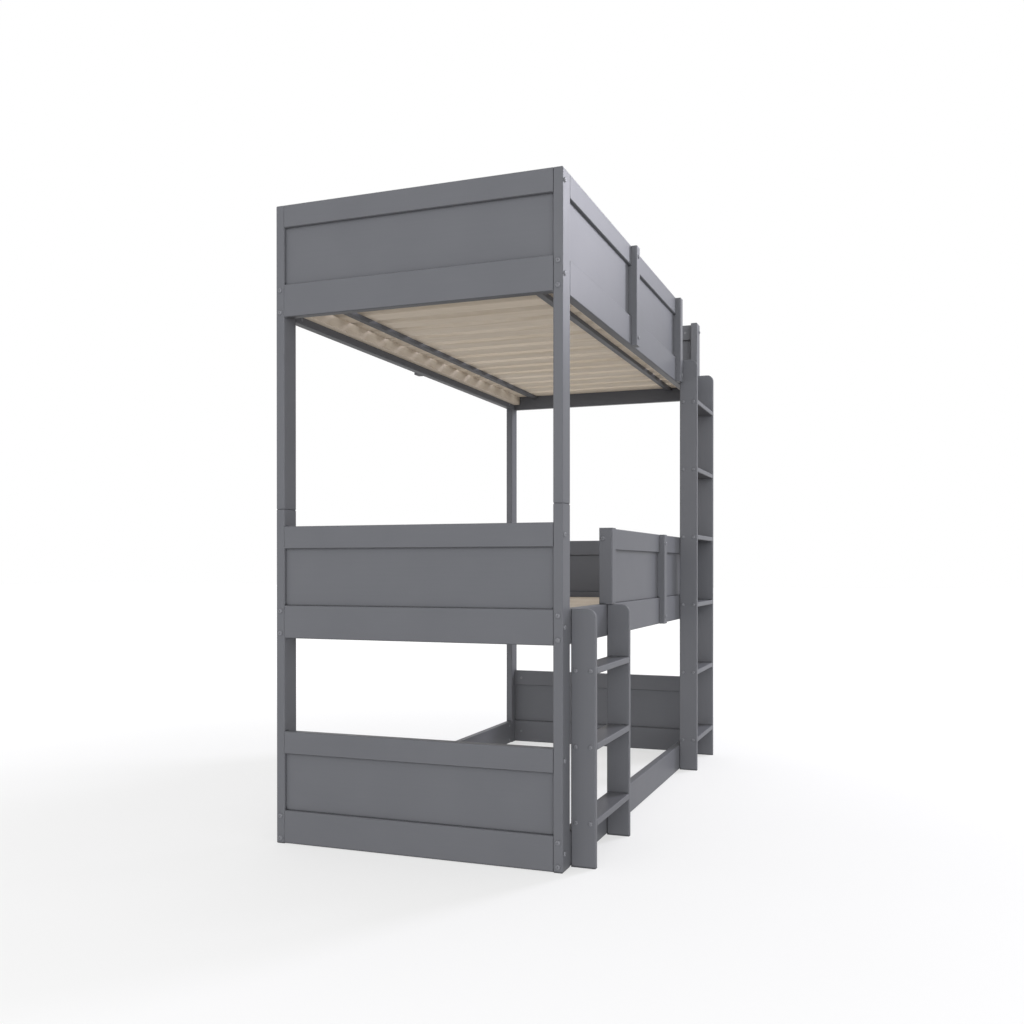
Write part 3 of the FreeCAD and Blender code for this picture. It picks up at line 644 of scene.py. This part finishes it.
def studio_world(name):
    """A white world, plus the gain times a power of the cosine of the angle from the light's middle."""
    world = bpy.data.worlds.new(name)
    world.use_nodes = True
    tree = world.node_tree
    tree.nodes.clear()
    towards = add(tree, "ShaderNodeTexCoord").outputs["Generated"]
    cosine = add(tree, "ShaderNodeVectorMath", {"operation": "DOT_PRODUCT"},
                 {0: towards, 1: BROAD_LIGHT_AIM})
    ahead = add(tree, "ShaderNodeMath", {"operation": "MAXIMUM"}, {0: cosine.outputs["Value"], 1: 0})
    broad = add(tree, "ShaderNodeMath", {"operation": "POWER"},
                {0: ahead.outputs[0], 1: BROAD_LIGHT_FALL})
    brightness = add(tree, "ShaderNodeMath", {"operation": "MULTIPLY_ADD"},
                     {0: broad.outputs[0], 1: BROAD_LIGHT_GAIN, 2: 1})
    room = add(tree, "ShaderNodeBackground", {},
               {"Color": (1, 1, 1, 1), "Strength": brightness.outputs[0]})
    add(tree, "ShaderNodeOutputWorld", {}, {"Surface": room.outputs[0]})
    return world


bpy.context.scene.world = studio_world("white_studio")


def soft_light(name, place, target, size, power):
    """A rectangular soft light, as wide and high as given, that faces the target."""
    lamp = bpy.data.lights.new(name, "AREA")
    lamp.shape = "RECTANGLE"
    lamp.size, lamp.size_y = size
    lamp.energy = power
    lamp.color = linear("#f3f2ff")[:3]
    holder = bpy.data.objects.new(name, lamp)
    holder.location = place
    holder.rotation_mode = "QUATERNION"
    holder.rotation_quaternion = (Vector(target) - Vector(place)).to_track_quat("-Z", "Y")
    bpy.context.scene.collection.objects.link(holder)


# A light beyond the tall ladder's end, high up in front, shines along the front of the top guard: its place,
# what it faces and its width and height in metres, and its power in watts.
FRONT_LIGHT_PLACE = (4.83, -3.62, 4.25)
FRONT_LIGHT_TARGET = (-1, -0.46, 2)
FRONT_LIGHT_SIZE = (1.2, 2.1)
FRONT_LIGHT_POWER = 345
soft_light("front_light", FRONT_LIGHT_PLACE, FRONT_LIGHT_TARGET, FRONT_LIGHT_SIZE, FRONT_LIGHT_POWER)

# The camera stands where the photograph was taken from: its place in metres, its heading from +X towards +Y
# and its tilt. The sensor and the focal length are in millimetres. The shift, in widths of the picture, puts
# the lens axis a little below the picture's middle.
CAMERA_PLACE = (-3.9069, -1.3885, 0.8901)
HEADING = math.radians(20.5105)
TILT = math.radians(-0.248)
SENSOR_WIDTH = 36
FOCAL_LENGTH = 36.348
SHIFT = (-0.00677, 0.05795)
camera_data = bpy.data.cameras.new("camera")
camera_data.sensor_width = SENSOR_WIDTH
camera_data.lens = FOCAL_LENGTH
camera_data.shift_x, camera_data.shift_y = SHIFT
camera = bpy.data.objects.new("camera", camera_data)
camera.location = CAMERA_PLACE
ahead = Vector((math.cos(HEADING) * math.cos(TILT), math.sin(HEADING) * math.cos(TILT), math.sin(TILT)))
camera.rotation_mode = "QUATERNION"
camera.rotation_quaternion = ahead.to_track_quat("-Z", "Y")
bpy.context.scene.collection.objects.link(camera)
bpy.context.scene.camera = camera
bpy.context.scene.view_settings.view_transform = "Standard"
